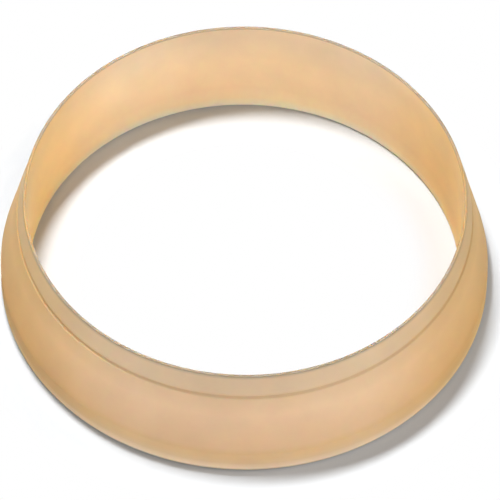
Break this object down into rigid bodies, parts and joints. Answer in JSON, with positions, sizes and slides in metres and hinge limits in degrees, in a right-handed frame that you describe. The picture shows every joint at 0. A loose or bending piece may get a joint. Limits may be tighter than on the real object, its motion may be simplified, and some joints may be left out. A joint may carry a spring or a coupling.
{
  "type": "conical sealing ring",
  "caption": "Wedge-section nylon ring with a straight bore, an upright land at its base and a tapered outside, which seals a plain pipe in a compression socket.",
  "frame": {"origin": "middle of the flat base, on the ring's axis", "axes": "+Z along the ring's axis, from the wide base to the thin nose"},
  "size_m": [0.0456, 0.0456, 0.0116],
  "materials": {
    "nylon": "satin, natural yellowed nylon, slightly translucent"
  },
  "bodies": {
    "root": {"conical_ring": "nylon"}
  },
  "joints": []
}
